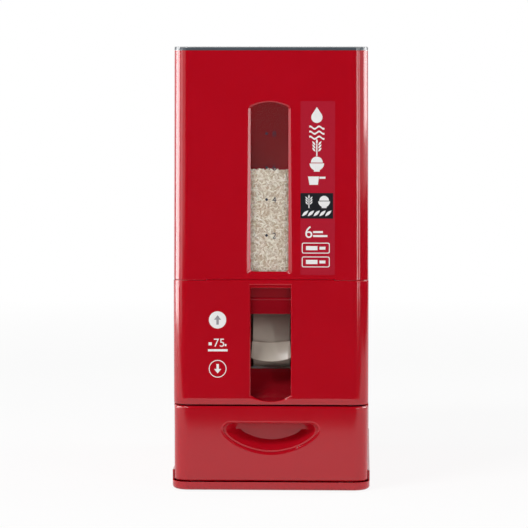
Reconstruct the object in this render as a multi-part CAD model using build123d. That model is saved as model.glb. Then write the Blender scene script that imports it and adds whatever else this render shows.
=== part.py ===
from build123d import *
from math import cos, radians, sin, sqrt
import os

# A rice dispenser: a lift-off tank with a window and a lid stands on a body
# that holds a funnel, a lever-turned measuring drum and a drawer.
# Millimetres. X is to the right, Y to the back, Z up; the front faces -Y.
# The origin is the middle of the footprint, on the floor.

# ---- driving dimensions ------------------------------------------------
BASE_WIDTH = 200.0
BASE_DEPTH = 342.0
BODY_WIDTH = 197.0
BODY_DEPTH = 339.0
TANK_WIDTH = 196.4
TANK_DEPTH = 338.4
TANK_DRAFT = 1.05  # each side leans in by this much up to the rim
CORNER = 16.0
WALL = 3.0
TANK_WALL = 2.5
TONGUE_HALF = 64.0

FOOT_PROUD = 1.0
BASE_FLOOR_TOP = 4.5
BASE_LIP_TOP = 9.4
BASE_SIDE_TOP = 19.5
DRAWER_BOTTOM = 9.9
DRAWER_TOP = 86.2
DRAWER_EDGE = 2.2
BODY_BOTTOM = 87.9
BODY_TOP = 213.4
TANK_BOTTOM = 213.6
TANK_TOP = 443.8
LID_BOTTOM = 444.1
LID_TOP = 447.7

BAY_FRONT_Y = -147.0  # the side walls of the body start here, behind the drawer front
SKIN_Y = -BODY_DEPTH / 2
TANK_FRONT_Y = -TANK_DEPTH / 2

# Measuring drum. Angles are taken from the front (-Y), upwards to +Z.
AXIS_Y = -112.5
AXIS_Z = 150.5
DRUM_RADIUS = 34.0
DRUM_WALL = 2.5
DRUM_HALF = 28.0
DRUM_FRONT_HALF = 18.45
LEVER_REST = -15.0
CHAMBER_MOUTH = (88.0, 135.0)  # filling mouth, from the lever's direction
CHAMBER_EXIT = (230.0, 276.0)  # emptying mouth, from the lever's direction
AXLE_RADIUS = 3.0
HUB_RADIUS = 6.0
RUNNING_FIT = 0.05

# Case round the drum
CASE_RADIUS = 34.6
CASE_WALL = 2.4
CHEEK_INNER = 28.6
CHEEK_OUTER = 31.2
THROAT = (118.0, 169.0)
OUTLET = (194.0, 244.0)
CASE_FRONT = (-54.0, 52.0)

# Lever recess
RECESS_HALF = 20.3
RECESS_TOP = 208.6
RECESS_SIDE_BOTTOM = 97.5
RECESS_BOTTOM = 91.2
RIM = 1.4
SKIRT = [(-1.0, 2.3), (0.0, 1.7), (1.8, 0.8), (4.0, 0.2), (6.4, 0.0)]  # height above the body's edge, inset
RECESS_BROW = (-167.0, 205.9)
RECESS_BACK = (-163.6, 205.2)
LEDGE = (-162.3, 195.6)
LEDGE_NOSE = (-163.9, 195.1)
LEDGE_FOOT = (-164.1, 193.6)
SLOT_TOP = (-164.1, 179.4)
SLOT_BOTTOM = (-143.0, 121.5)
DISH_MIDDLE = (-148.2, 103.4)
DISH_FOOT = (-163.5, 92.6)
TROUGH_BACK_Y = -135.4
TROUGH_WALL = 2.2
TROUGH_TOP = 207.0

# Window
WINDOW_X = -1.2
WINDOW_HALF = 22.9
WINDOW_BOTTOM = 219.9
WINDOW_SHOULDER = 388.7
WINDOW_APEX = 394.5
BEVEL = 4.0
BEVEL_DEPTH = 1.5
PANE_FRAME = 5.0  # depth of the thickened frame, from the outer face

# Hopper
HOPPER_FRONT_Z = 211.2
HOPPER_BACK_Z = 262.0
HOPPER_RIM = 1.8
SPOUT_FRONT = (-94.8, 187.0)
SPOUT_BACK = (-75.4, 168.0)
SPOUT_HALF = 27.4
SHEET = 2.4
SHELF_TOP = 205.0

# Drawer
PULL_HALF = 47.4
PULL_TOP = 68.6
PULL_CORNER = 6.6
PULL_BOTTOM = 39.7
PULL_DEPTH = 19.0
PULL_ROUND = 2.8
LENS_HALF = 31.0
LENS_BOTTOM = 50.4
BROW_DEPTH = 14.0
BROW_BOTTOM = 61.6
HOOK_START = 4.6
HOOK_HALF = 33.0
TRAY_HALF = 92.0
TRAY_BACK_Y = 72.0
TRAY_BOTTOM = 13.0
TRAY_TOP = 79.5

SCREW_HEAD_RADIUS = 3.0
SCREW_HEAD = 2.0
SCREW_RADIUS = 1.5

# Lid hinge
HINGE_Y = 167.3
HINGE_Z = 440.3
KNUCKLE_RADIUS = 3.5
PIN_RADIUS = 1.5
HINGE_X = 62.0
KNUCKLE_HALF = 9.0
LUG = 7.0


# ---- helpers -----------------------------------------------------------
def rounded_block(width, depth, radius, bottom, top):
    """Upright block with rounded corners, centred on Z."""
    return Pos(0, 0, bottom) * extrude(RectangleRounded(width, depth, radius), top - bottom)


def block(x, y, z):
    """Block between the given limits, each a (low, high) pair."""
    size = (x[1] - x[0], y[1] - y[0], z[1] - z[0])
    return Pos((x[0] + x[1]) / 2, (y[0] + y[1]) / 2, (z[0] + z[1]) / 2) * Box(*size)


def across(points, half):
    """Solid with the given (Y, Z) outline, from -half to +half in X."""
    face = make_face(Plane.YZ * Polyline(*points, close=True))
    return extrude(face, half, both=True)


def rod(radius, half, y, z, x=0):
    """Round bar along X."""
    return Pos(x, y, z) * Rot(0, 90, 0) * Cylinder(radius, 2 * half)


def on_drum(angle, radius):
    """(Y, Z) at an angle and a radius from the drum's axis."""
    return (AXIS_Y - radius * cos(radians(angle)), AXIS_Z + radius * sin(radians(angle)))


def wedge(start, end, half, reach=90.0):
    """Wedge about the drum's axis between two angles."""
    middle = (start + end) / 2
    ends = [on_drum(angle, reach) for angle in (start, middle, end)]
    return across([(AXIS_Y, AXIS_Z)] + ends, half)


def curved_wall(inner, outer, start, end, half):
    """Part of a tube about the drum's axis."""
    tube = rod(outer, half, AXIS_Y, AXIS_Z) - rod(inner, half + 1, AXIS_Y, AXIS_Z)
    return tube & wedge(start, end, half + 1)


def front_plane(y):
    """Plane facing the front, with X and Z as its own axes."""
    return Plane(origin=(0, y, 0), x_dir=(1, 0, 0), z_dir=(0, -1, 0))


def eased_mouth(outline, y, radius):
    """Room that eases the edge of an opening in a front face, in three facets of a quarter round."""
    steps = [(0.0, 1.0), (0.13, 0.5), (0.5, 0.13), (1.0, 0.0)]
    rings = [front_plane(y + radius * depth) * outline(radius * grow) for depth, grow in steps]
    room = [loft([one, other], ruled=True) for one, other in zip(rings, rings[1:])]
    return room[0] + room[1] + room[2]


def screw(length):
    """Pan-head screw, head below the origin and shank going up from it."""
    head = Cylinder(SCREW_HEAD_RADIUS, SCREW_HEAD, align=(Align.CENTER, Align.CENTER, Align.MAX))
    head = fillet(head.edges().group_by(Axis.Z)[0], 0.9)
    shank = Cylinder(SCREW_RADIUS, length, align=(Align.CENTER, Align.CENTER, Align.MIN))
    slot = Pos(0, 0, -SCREW_HEAD) * (Box(3.6, 0.7, 1.6) + Box(0.7, 3.6, 1.6))
    return head + shank - slot


def drilled(shape, places, length):
    """The shape with a round hole along each screw's shank."""
    hole = Cylinder(SCREW_RADIUS, length + 1.2, align=(Align.CENTER, Align.CENTER, Align.MIN))
    for place in places:
        shape -= place * Pos(0, 0, -1) * hole
    return shape


def group(solids):
    """Separate solids kept together as one node."""
    return Compound(children=list(solids))


# ---- base --------------------------------------------------------------
FOOT_PLACES = [(x, y) for x in (-78, 78) for y in (-146, 146)]
BASE_SCREWS = [Pos(x, y, FOOT_PROUD + 2) for x in (-90, 90) for y in (-100, 100)]
BASE_SCREW_LENGTH = 8.0


def base_tray():
    """Floor tray: low lip in front, higher walls at the sides and the back."""
    outer = rounded_block(BASE_WIDTH, BASE_DEPTH, CORNER + 1.5, FOOT_PROUD, BASE_SIDE_TOP)
    outer = fillet(outer.edges().group_by(Axis.Z)[0], 3.5)
    inside = rounded_block(BASE_WIDTH - 3.4, BASE_DEPTH - 3.4, CORNER - 0.2, BASE_FLOOR_TOP, 40)
    tray = outer - inside
    front = block((-120, 120), (-200, BAY_FRONT_Y - 6), (BASE_LIP_TOP, 40))
    tray -= front
    for x, y in FOOT_PLACES:
        tray -= Pos(x, y, FOOT_PROUD + 1) * Cylinder(8.1, 2)
    for place in BASE_SCREWS:
        tray -= place * Pos(0, 0, -1) * Cylinder(SCREW_HEAD_RADIUS + 0.3, 2)
    return drilled(tray, BASE_SCREWS, BASE_SCREW_LENGTH)


def rubber_feet():
    return group(Pos(x, y, 1.5) * fillet(Cylinder(8, 3).edges().group_by(Axis.Z)[0], 0.6)
                 for x, y in FOOT_PLACES)


def base_screws():
    return group(place * screw(BASE_SCREW_LENGTH) for place in BASE_SCREWS)


def drawer_runner(side):
    """Rail on the base tray: the drawer slides on its foot and is kept straight by its wall."""
    foot = block((-7, 7), (-140, 150), (BASE_FLOOR_TOP, TRAY_BOTTOM - 0.2))
    foot -= block((-5, 5), (-138, 148), (0, TRAY_BOTTOM - 2.2))
    foot = Pos(side * 76, 0, 0) * foot
    stop = block((-7, 7), (146, 150), (TRAY_BOTTOM - 0.2, TRAY_BOTTOM + 14))
    return foot + Pos(side * 76, 0, 0) * stop


# ---- body --------------------------------------------------------------
def recess_outline(grow):
    """Front outline of the lever recess: straight sides, curved foot."""
    half = RECESS_HALF + grow
    top = RECESS_TOP + grow
    side = RECESS_SIDE_BOTTOM - grow
    corner = Line((-half, side), (-half, top)) + Line((-half, top), (half, top))
    foot = ThreePointArc((half, side), (0, RECESS_BOTTOM - grow), (-half, side))
    return make_face(corner + Line((half, top), (half, side)) + foot)


def recess_profile():
    """Side profile of the lever recess, from the skin back to the drum."""
    front = SKIN_Y - 1
    top = [(front, RECESS_TOP + 2), (SKIN_Y, RECESS_TOP), RECESS_BROW, RECESS_BACK, LEDGE]
    back = (TROUGH_BACK_Y + 1, SLOT_BOTTOM[1])
    dish = ThreePointArc(SLOT_BOTTOM, DISH_MIDDLE, DISH_FOOT)
    lines = Line(back, SLOT_BOTTOM) + dish + Polyline(DISH_FOOT, (front, RECESS_BOTTOM - 1.5), *top)
    lines += ThreePointArc(LEDGE, LEDGE_NOSE, LEDGE_FOOT)
    lines += Polyline(LEDGE_FOOT, SLOT_TOP, (TROUGH_BACK_Y + 1, SLOT_TOP[1]), back)
    return make_face(Plane.YZ * lines)


def recess_space():
    """Room for the lever and the finger, open to the front."""
    front = SKIN_Y - 1
    tunnel = extrude(front_plane(front) * recess_outline(0), -(TROUGH_BACK_Y + 2 - front))
    return tunnel & extrude(recess_profile(), RECESS_HALF + 5, both=True)


def skirt_trim():
    """What the body's front loses where it curls in above the drawer."""
    trim = block((-150, 150), (-200, BAY_FRONT_Y), (BODY_BOTTOM - 1, BODY_BOTTOM + SKIRT[-1][0]))
    for (low, deep), (high, shallow) in zip(SKIRT, SKIRT[1:]):
        outlines = [Pos(0, 0, BODY_BOTTOM + z) * RectangleRounded(BODY_WIDTH, BODY_DEPTH - 2 * inset, CORNER)
                    for z, inset in ((low, deep), (high, shallow))]
        trim -= loft(outlines, ruled=True)
    return trim


def body_shell():
    """Outer housing: four walls, open at the drawer bay and at the top."""
    shell = rounded_block(BODY_WIDTH, BODY_DEPTH, CORNER, BASE_FLOOR_TOP + 0.1, BODY_TOP)
    shell -= rounded_block(BODY_WIDTH - 2 * WALL, BODY_DEPTH - 2 * WALL, CORNER - WALL, 0, 300)
    foot_ring = rounded_block(300, 500, 20, 0, BASE_SIDE_TOP + 0.3)
    foot_ring -= rounded_block(BASE_WIDTH - 5.2, BASE_DEPTH - 5.2, CORNER - 1.5, -1, 30)
    shell -= foot_ring
    sill = block((-90, 90), (SKIN_Y + 1, SKIN_Y + 12), (BODY_BOTTOM, BODY_BOTTOM + 3))
    shell -= block((-150, 150), (-200, BAY_FRONT_Y), (-1, BODY_BOTTOM))
    shell += sill & rounded_block(BODY_WIDTH - 2, BODY_DEPTH - 2, CORNER - 1, 0, 300)
    low_edges = shell.edges().filter_by_position(Axis.Z, BODY_BOTTOM - 0.01, BODY_BOTTOM + 0.01)
    skin_edges = [e for e in low_edges if e.center().Y < SKIN_Y + 0.1 or
                  (e.center().Y < SKIN_Y + 10 and abs(e.center().X) > 93.5)]
    shell = fillet(skin_edges, 1.2)
    shell -= skirt_trim()
    shell = fillet(shell.edges().group_by(Axis.Z)[-1], 0.8)
    tongue = rounded_block(TANK_WIDTH - 1.0, TANK_DEPTH - 1.0, CORNER, BODY_TOP - 2, BODY_TOP + 1.3)
    tongue -= rounded_block(TANK_WIDTH - 4.6, TANK_DEPTH - 4.6, CORNER - 2, 0, 300)
    shell += tongue & block((-TONGUE_HALF, TONGUE_HALF), (-200, 0), (200, 230))
    shell -= recess_space()
    shell -= eased_mouth(recess_outline, SKIN_Y, RIM)
    for side in (-1, 1):
        ledge = block((92.0, 96.0), (-140, 160), (84.6, BODY_BOTTOM + 0.2))
        shelf = block((90.5, 96.0), (-140, 150), (SHELF_TOP - 3, SHELF_TOP))
        post = block((90.5, 96.0), (-3, 3), (BODY_BOTTOM + 3, SHELF_TOP - 2.5))
        boss = block((86.5, 96.0), (-106, -94), (BASE_FLOOR_TOP + 0.1, 11.6))
        boss += block((86.5, 96.0), (94, 106), (BASE_FLOOR_TOP + 0.1, 11.6))
        part = ledge + shelf + post + boss
        shell += part if side > 0 else mirror(part, Plane.YZ)
    return drilled(shell, BASE_SCREWS, BASE_SCREW_LENGTH)


def lever_trough():
    """Lining of the lever recess, behind the skin of the body."""
    front = SKIN_Y + WALL + 0.1
    outer = extrude(offset(recess_profile(), TROUGH_WALL), RECESS_HALF + TROUGH_WALL, both=True)
    outer &= block((-40, 40), (front, TROUGH_BACK_Y), (BODY_BOTTOM + 3.1, TROUGH_TOP))
    flange = block((-30, 30), (front, front + 2.4), (98.0, 200.0))
    return outer + flange - recess_space()


CEILING_SCREWS = [Pos(x, y, BODY_BOTTOM + 0.3) for x in (-38, 38) for y in (-118, -74)]
CEILING_SCREW_LENGTH = 5.6
CHUTE_HALF = 24.0
CHUTE_Y = (-96.0, -68.0)


def bay_ceiling():
    """Plate over the drawer bay: it carries the drum's case and has the way out for the rice."""
    plate = rounded_block(BODY_WIDTH - 2 * WALL - 0.6, BODY_DEPTH - 2 * WALL - 0.6, CORNER - WALL,
                          BODY_BOTTOM + 0.3, BODY_BOTTOM + 2.8)
    plate -= block((-200, 200), (-200, SKIN_Y + 12.2), (0, 200))
    plate -= block((-CHUTE_HALF, CHUTE_HALF), CHUTE_Y, (0, 200))
    for x in (-60, 60):
        plate += block((x - 1, x + 1), (-140, 155), (BODY_BOTTOM + 2.7, BODY_BOTTOM + 8))
    plate += block((-94, 94), (20, 22), (BODY_BOTTOM + 2.7, BODY_BOTTOM + 8))
    return drilled(plate, CEILING_SCREWS, CEILING_SCREW_LENGTH)


def outlet_spout():
    """Short collar clipped into the ceiling that drops the rice into the drawer."""
    x = (-CHUTE_HALF + 0.1, CHUTE_HALF - 0.1)
    y = (CHUTE_Y[0] + 0.1, CHUTE_Y[1] - 0.1)
    z = (BODY_BOTTOM - 4.5, BODY_BOTTOM + 2.7)
    collar = block(x, y, z)
    collar += block((x[0] - 3, x[1] + 3), (y[0] - 3, y[1] + 3), (BODY_BOTTOM - 1.6, BODY_BOTTOM + 0.2))
    return collar - block((x[0] + 1.8, x[1] - 1.8), (y[0] + 1.8, y[1] - 1.8), (0, 300))


# ---- metering case and drum --------------------------------------------
CASE_FLOOR = BODY_BOTTOM + 2.9
CASE_BACK_Y = CHUTE_Y[1] + 4.6
CASE_FRONT_WALL = (-101.5, -99.1)
COVER_SCREWS = [Pos(-CHEEK_OUTER, y, z) * Rot(0, 90, 0)
                for y, z in ((-67.8, 143.0), (-67.8, 100), (-104, 108.5))]
COVER_SCREW_LENGTH = 8.0


def cheek(x):
    """Side plate of the case with the axle's seat, cut away under the hopper."""
    middle = (x[0] + x[1]) / 2
    plate = rod(CASE_RADIUS + CASE_WALL, (x[1] - x[0]) / 2, AXIS_Y, AXIS_Z, middle)
    plate += block(x, (AXIS_Y - 12, CASE_BACK_Y), (CASE_FLOOR, AXIS_Z))
    plate += block(x, (AXIS_Y + 10, CASE_BACK_Y), (AXIS_Z, 163.0))
    under_hopper = across([(-98.0, 184.0), (-75.4, 163.5), (-60, 163.5), (-60, 200), (-98.0, 200)], 60)
    plate -= under_hopper + block((-60, 60), (-200, 0), (183.8, 200))
    return plate - rod(5.0, 10, AXIS_Y, AXIS_Z, middle)


def metering_case():
    """Cradle round the drum: right cheek, curved walls, throat and way out."""
    case = cheek((CHEEK_INNER, CHEEK_OUTER))
    spans = [(CASE_FRONT[1], THROAT[0]), (THROAT[1], OUTLET[0]), (OUTLET[1], CASE_FRONT[0] + 360)]
    for start, end in spans:
        case += curved_wall(CASE_RADIUS, CASE_RADIUS + CASE_WALL, start, end, CHEEK_INNER)
    inside = (-CHEEK_INNER, CHEEK_INNER + 0.1)
    back = CASE_BACK_Y - CASE_WALL
    case += block(inside, (back, CASE_BACK_Y), (CASE_FLOOR, 163.0))
    case += block(inside, (-76.9, back + 0.1), (147.5, 149.5))
    case += block(inside, CASE_FRONT_WALL, (CASE_FLOOR, 116.6))
    foot = block((-45, 45), (AXIS_Y - 12, CASE_BACK_Y), (CASE_FLOOR, CASE_FLOOR + 2.5))
    foot -= block((-CHEEK_INNER, CHEEK_INNER), (CASE_FRONT_WALL[0], back), (0, 200))
    case += foot
    for place in COVER_SCREWS:
        case += place * Pos(0, 0, CHEEK_OUTER - CHEEK_INNER + 7) * Cylinder(3.2, 14)
    case = drilled(case, COVER_SCREWS, COVER_SCREW_LENGTH)
    return drilled(case, CEILING_SCREWS, CEILING_SCREW_LENGTH)


def case_cover():
    """Left cheek, screwed on after the drum is in."""
    plate = cheek((-CHEEK_OUTER, -CHEEK_INNER))
    plate -= block((-40, 0), (-200, 0), (0, CASE_FLOOR + 2.6))
    return drilled(plate, COVER_SCREWS, COVER_SCREW_LENGTH)


def cover_screws():
    return group(place * screw(COVER_SCREW_LENGTH) for place in COVER_SCREWS)


def case_screws():
    return group(place * screw(CEILING_SCREW_LENGTH) for place in CEILING_SCREWS)


def throat_wipers():
    """Two soft lips that level the rice at the edges of the throat."""
    blades = []
    for angle in (THROAT[0] + 1.1, THROAT[1] - 1.1):
        y, z = on_drum(angle, DRUM_RADIUS + 1.7)
        blades.append(Pos(0, y, z) * Rot(-angle, 0, 0) * Box(2 * SPOUT_HALF - 1, 3.0, 1.0))
    return group(blades)


def drum_axle():
    return rod(AXLE_RADIUS, 38, AXIS_Y, AXIS_Z)


def axle_bushes():
    """Flanged bushes in the cheeks."""
    bushes = []
    for side in (-1, 1):
        seat = (CHEEK_INNER + CHEEK_OUTER) / 2
        bush = rod(5.0, 1.3, AXIS_Y, AXIS_Z, side * seat)
        bush += rod(7.5, 0.6, AXIS_Y, AXIS_Z, side * (CHEEK_OUTER + 0.6))
        bushes.append(bush - rod(AXLE_RADIUS, 10, AXIS_Y, AXIS_Z, side * seat))
    return group(bushes)


def axle_clips():
    """Spring clips on both ends of the axle."""
    clips = []
    for side in (-1, 1):
        clip = rod(6.0, 0.5, AXIS_Y, AXIS_Z, side * 34.0)
        clip -= rod(AXLE_RADIUS, 2, AXIS_Y, AXIS_Z, side * 34.0)
        clips.append(clip - Pos(side * 34.0, AXIS_Y, AXIS_Z - 5) * Box(4, 3.2, 10))
    return group(clips)


def half_space(offset, size=200.0):
    """Everything in front of the drum's partition, moved forward by the offset."""
    y, z = on_drum(LEVER_REST + 1, offset + size / 2)
    return Pos(0, y, z) * Rot(-(LEVER_REST + 1), 0, 0) * Box(size, size, size)


def metering_drum():
    """Half a drum is the measuring chamber, the other half a hollow closing shield."""
    whole = rod(DRUM_RADIUS, DRUM_HALF, AXIS_Y, AXIS_Z)
    inner = rod(DRUM_RADIUS - DRUM_WALL, DRUM_HALF - DRUM_WALL, AXIS_Y, AXIS_Z)
    hub = rod(HUB_RADIUS, DRUM_HALF, AXIS_Y, AXIS_Z)
    chamber = whole - half_space(3.4) - (inner - half_space(1.0) - hub)
    for start, end in (CHAMBER_MOUTH, CHAMBER_EXIT):
        chamber -= wedge(start + LEVER_REST, end + LEVER_REST, DRUM_HALF - DRUM_WALL) - rod(
            DRUM_RADIUS - 3.5, DRUM_HALF, AXIS_Y, AXIS_Z)
    shield = curved_wall(DRUM_RADIUS - DRUM_WALL, DRUM_RADIUS, -84 + LEVER_REST, 86 + LEVER_REST,
                         DRUM_FRONT_HALF)
    rib = rod(DRUM_RADIUS - 1, 1.2, AXIS_Y, AXIS_Z) & half_space(3.0)
    drum = chamber + shield + rib
    drum -= lever_tongue(0.0)
    return drum - rod(AXLE_RADIUS + RUNNING_FIT, 60, AXIS_Y, AXIS_Z)


def in_lever_frame(shape):
    """Turn a shape drawn with the lever straight to the front to its resting angle."""
    return Pos(0, AXIS_Y, AXIS_Z) * Rot(-LEVER_REST, 0, 0) * shape


def lever_tongue(grow):
    """Plug that presses the lever into the drum's front wall."""
    plug = block((-12 - grow, 12 + grow), (-35.0, -30.6), (-5.0 - grow, 3.0 + grow))
    return in_lever_frame(plug)


PADDLE_HALF = 19.9
PADDLE_ROOT = (-32.9, 8.5)
PADDLE_RIDGE = [(-35.8, 9.5), (-36.75, 9.45), (-37.35, 8.75)]
PADDLE_FACE = [(-44.2, -0.7), (-53.4, -8.2)]
PADDLE_UNDER = [(-51.4, -10.5), (-43.4, -3.6), (-33.2, -5.6)]
PADDLE_BOW = 59.4  # radius of the bowed lower edge, seen from the front
SCOOP_HALF = 17.2
SCOOP_DEPTH = 1.8
SCOOP_CENTRE = (-77.2, 30.5)
SCOOP_RADIUS = 45.5


def lever_paddle():
    """Thumb lever: face hollowed both ways, ridge dipped in the middle, bowed lower edge."""
    ridge = ThreePointArc(*PADDLE_RIDGE)
    face = ThreePointArc(PADDLE_RIDGE[-1], *PADDLE_FACE)
    under = Polyline(PADDLE_FACE[-1], *PADDLE_UNDER)
    seat = ThreePointArc(PADDLE_UNDER[-1], (-DRUM_RADIUS + 0.02, 0), PADDLE_ROOT)
    side = make_face(Plane.YZ * (Line(PADDLE_ROOT, PADDLE_RIDGE[0]) + ridge + face + under + seat))
    paddle = extrude(side, PADDLE_HALF, both=True)
    paddle &= Pos(0, 0, PADDLE_BOW - 7.4) * Rot(90, 0, 0) * Cylinder(PADDLE_BOW, 200)
    rim = (SCOOP_HALF, SCOOP_RADIUS)
    belly = ThreePointArc((-rim[0], rim[1]), (0, SCOOP_RADIUS + SCOOP_DEPTH), rim)
    barrel = make_face(belly + Polyline(rim, (rim[0], 0), (-rim[0], 0), (-rim[0], rim[1])))
    paddle -= Pos(0, *SCOOP_CENTRE) * revolve(barrel, Axis.X)
    saddle = (SCOOP_HALF ** 2 + SCOOP_DEPTH ** 2) / (2 * SCOOP_DEPTH)
    height = PADDLE_RIDGE[0][1] - SCOOP_DEPTH + saddle
    paddle -= Pos(0, -45, height) * Rot(90, 0, 0) * Cylinder(saddle, 40)
    flare = Polyline((-18.5, -30), (18.5, -30), (PADDLE_HALF, -45), (PADDLE_HALF, -60), (-PADDLE_HALF, -60),
                     (-PADDLE_HALF, -45), (-18.5, -30))
    paddle &= extrude(make_face(flare), 40, both=True)
    paddle = in_lever_frame(paddle)
    return paddle + lever_tongue(0.0) - rod(DRUM_RADIUS, 100, AXIS_Y, AXIS_Z) + lever_tongue(0.0)


# ---- hopper ------------------------------------------------------------
HOPPER_HALF = TANK_WIDTH / 2 - TANK_WALL - 1.1
HOPPER_DEPTH = TANK_DEPTH / 2 - TANK_WALL - 1.1


def rim_height(y):
    """Height of the funnel's upper edge, which rises to the back."""
    share = (y + HOPPER_DEPTH) / (2 * HOPPER_DEPTH)
    return HOPPER_FRONT_Z + share * (HOPPER_BACK_Z - HOPPER_FRONT_Z)


def rim_slab(low, high):
    """Slab between two levels measured from the funnel's upper edge."""
    ends = (-HOPPER_DEPTH - 1, HOPPER_DEPTH + 1)
    outline = [(y, rim_height(y) + low) for y in ends] + [(y, rim_height(y) + high) for y in reversed(ends)]
    return across(outline, HOPPER_HALF + 1)


def funnel_core(drop, grow):
    """Solid inside the funnel's four slopes, moved down by the drop and widened by grow."""
    x = HOPPER_HALF - 1.7 + grow
    y = HOPPER_DEPTH - 1.7 + grow
    top = [(i, j, rim_height(j) - drop) for i, j in ((-x, -y), (x, -y), (x, y), (-x, y))]
    low, high = SPOUT_FRONT[1] - drop, SPOUT_BACK[1] - drop
    x = SPOUT_HALF + grow
    front, back = SPOUT_FRONT[0] - grow, SPOUT_BACK[0] + grow
    foot = [(-x, front, low), (x, front, low), (x, back, high), (-x, back, high)]
    faces = [make_face(Polyline(*top, close=True)), make_face(Polyline(*foot, close=True))]
    for i in range(4):
        j = (i + 1) % 4
        upper = Line(top[i], top[j])
        lower = Line(foot[i], foot[j])
        faces.append(Face.make_surface_from_curves(upper.edge(), lower.edge()))
    return Solid(Shell(faces))


def hopper():
    """Funnel pan: the tank sits over it, the rice slides down to the drum."""
    corner = CORNER - TANK_WALL
    outside = rounded_block(2 * HOPPER_HALF, 2 * HOPPER_DEPTH, corner, 100, 290)
    inside = rounded_block(2 * HOPPER_HALF - 4, 2 * HOPPER_DEPTH - 4, corner - 2, 90, 300)
    room = (funnel_core(0, 0) & inside) + (rim_slab(-0.05, 30) & inside)
    pan = (funnel_core(SHEET, 1.5) + rim_slab(-SHEET, 0)) & outside
    rim = (outside - inside) & rim_slab(-SHEET, HOPPER_RIM)
    x = SPOUT_HALF
    y = (SPOUT_FRONT[0], SPOUT_BACK[0])
    spout = block((-x, x), y, (161.0, SPOUT_FRONT[1] - SHEET + 0.2))
    bore = block((-x + 1.8, x - 1.8), (y[0] + 1.8, y[1] - 1.8), (100, 192))
    flange = rounded_block(BODY_WIDTH - 2 * WALL - 0.8, BODY_DEPTH - 2 * WALL - 0.8, CORNER - WALL,
                           SHELF_TOP + 0.1, SHELF_TOP + 2.3)
    flange -= block((-200, 200), (-200, -60), (0, 300))
    body = pan + rim + spout + (flange - funnel_core(SHEET - 0.2, 0))
    return body - room - bore - rod(DRUM_RADIUS + 3.6, 60, AXIS_Y, AXIS_Z)


# ---- drawer ------------------------------------------------------------
def smile_outline(half, top, corner, low):
    """Smile shape seen from the front: straight top, round corners, curved foot."""
    side = top - corner
    bend = corner * (1 - sqrt(0.5))
    drop = side - 0.36 * (side - low)
    smile = Bezier((half, side), (half, drop), (0.5 * half, low), (0, low))
    smile += Bezier((0, low), (-0.5 * half, low), (-half, drop), (-half, side))
    rim = Line((-half + corner, top), (half - corner, top))
    rim += ThreePointArc((half - corner, top), (half - bend, top - bend), (half, side))
    rim += ThreePointArc((-half, side), (-half + bend, top - bend), (-half + corner, top))
    return make_face(rim + smile)


def pull_mouth(grow):
    """Outline of the finger pull in the skin."""
    return smile_outline(PULL_HALF + grow, PULL_TOP + grow, PULL_CORNER + grow, PULL_BOTTOM - grow)


def pull_bowl(grow, depth):
    """Bowl that narrows from the finger pull in the skin to a lens on its back wall."""
    lens = smile_outline(LENS_HALF + grow, PULL_TOP + grow, PULL_CORNER + grow, LENS_BOTTOM - grow)
    mouth = front_plane(DRAWER_Y) * pull_mouth(grow)
    return loft([mouth, front_plane(DRAWER_Y + depth) * lens], ruled=True)


def pull_space():
    """Room for the fingers: bowl, brow on the back wall and hooked roof."""
    back = DRAWER_Y + PULL_DEPTH
    brow = block((-60, 60), (DRAWER_Y + BROW_DEPTH, back + 1), (BROW_BOTTOM, PULL_TOP + 5))
    entry = extrude(front_plane(DRAWER_Y - 2) * pull_mouth(0), -2.0)
    hook = block((-HOOK_HALF, HOOK_HALF), (DRAWER_Y + HOOK_START, DRAWER_Y + BROW_DEPTH),
                 (PULL_TOP - 2, PULL_TOP + 3))
    return pull_bowl(0, PULL_DEPTH) - brow + entry + hook


DRAWER_Y = -BODY_DEPTH / 2 + 0.6
DRAWER_WIDTH = 196.0
DRAWER_SCREWS = [Pos(x, BAY_FRONT_Y + 2.3, z) * Rot(90, 0, 0) for x in (-70, 70) for z in (26, 68)]
DRAWER_SCREW_LENGTH = 9.0


def drawer_front():
    """Wrap-round front with the finger pull and its cup."""
    outer = rounded_block(DRAWER_WIDTH, -2 * DRAWER_Y, CORNER, DRAWER_BOTTOM, DRAWER_TOP)
    outer &= block((-150, 150), (-200, BAY_FRONT_Y - 0.6), (0, 100))
    rims = [e for e in outer.edges().group_by(Axis.Z)[-1] if e.center().Y < BAY_FRONT_Y - 1]
    rims += [e for e in outer.edges().group_by(Axis.Z)[0] if e.center().Y < BAY_FRONT_Y - 1]
    front = fillet(rims, DRAWER_EDGE)
    inside = rounded_block(DRAWER_WIDTH - 2 * WALL, -2 * DRAWER_Y - 2 * WALL, CORNER - WALL,
                           DRAWER_BOTTOM + WALL, DRAWER_TOP - WALL)
    cup = pull_cup()
    front -= inside & block((-150, 150), (-200, -100), (0, 100))
    front += cup
    front -= pull_space()
    front -= eased_mouth(pull_mouth, DRAWER_Y, PULL_ROUND)
    for place in DRAWER_SCREWS:
        x, z = place.position.X, place.position.Z
        front += Pos(x, BAY_FRONT_Y - 10.3, z) * Rot(90, 0, 0) * Cylinder(4.0, 19.4)
    return drilled(front, DRAWER_SCREWS, DRAWER_SCREW_LENGTH)


def pull_cup():
    """Walls of the bowl behind the finger pull, with the pocket of its hooked roof."""
    pocket = block((-HOOK_HALF - 2, HOOK_HALF + 2), (DRAWER_Y + 1, DRAWER_Y + BROW_DEPTH + 2),
                   (BROW_BOTTOM, PULL_TOP + 5))
    return pull_bowl(2.2, PULL_DEPTH + 1.0) + pocket


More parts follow.
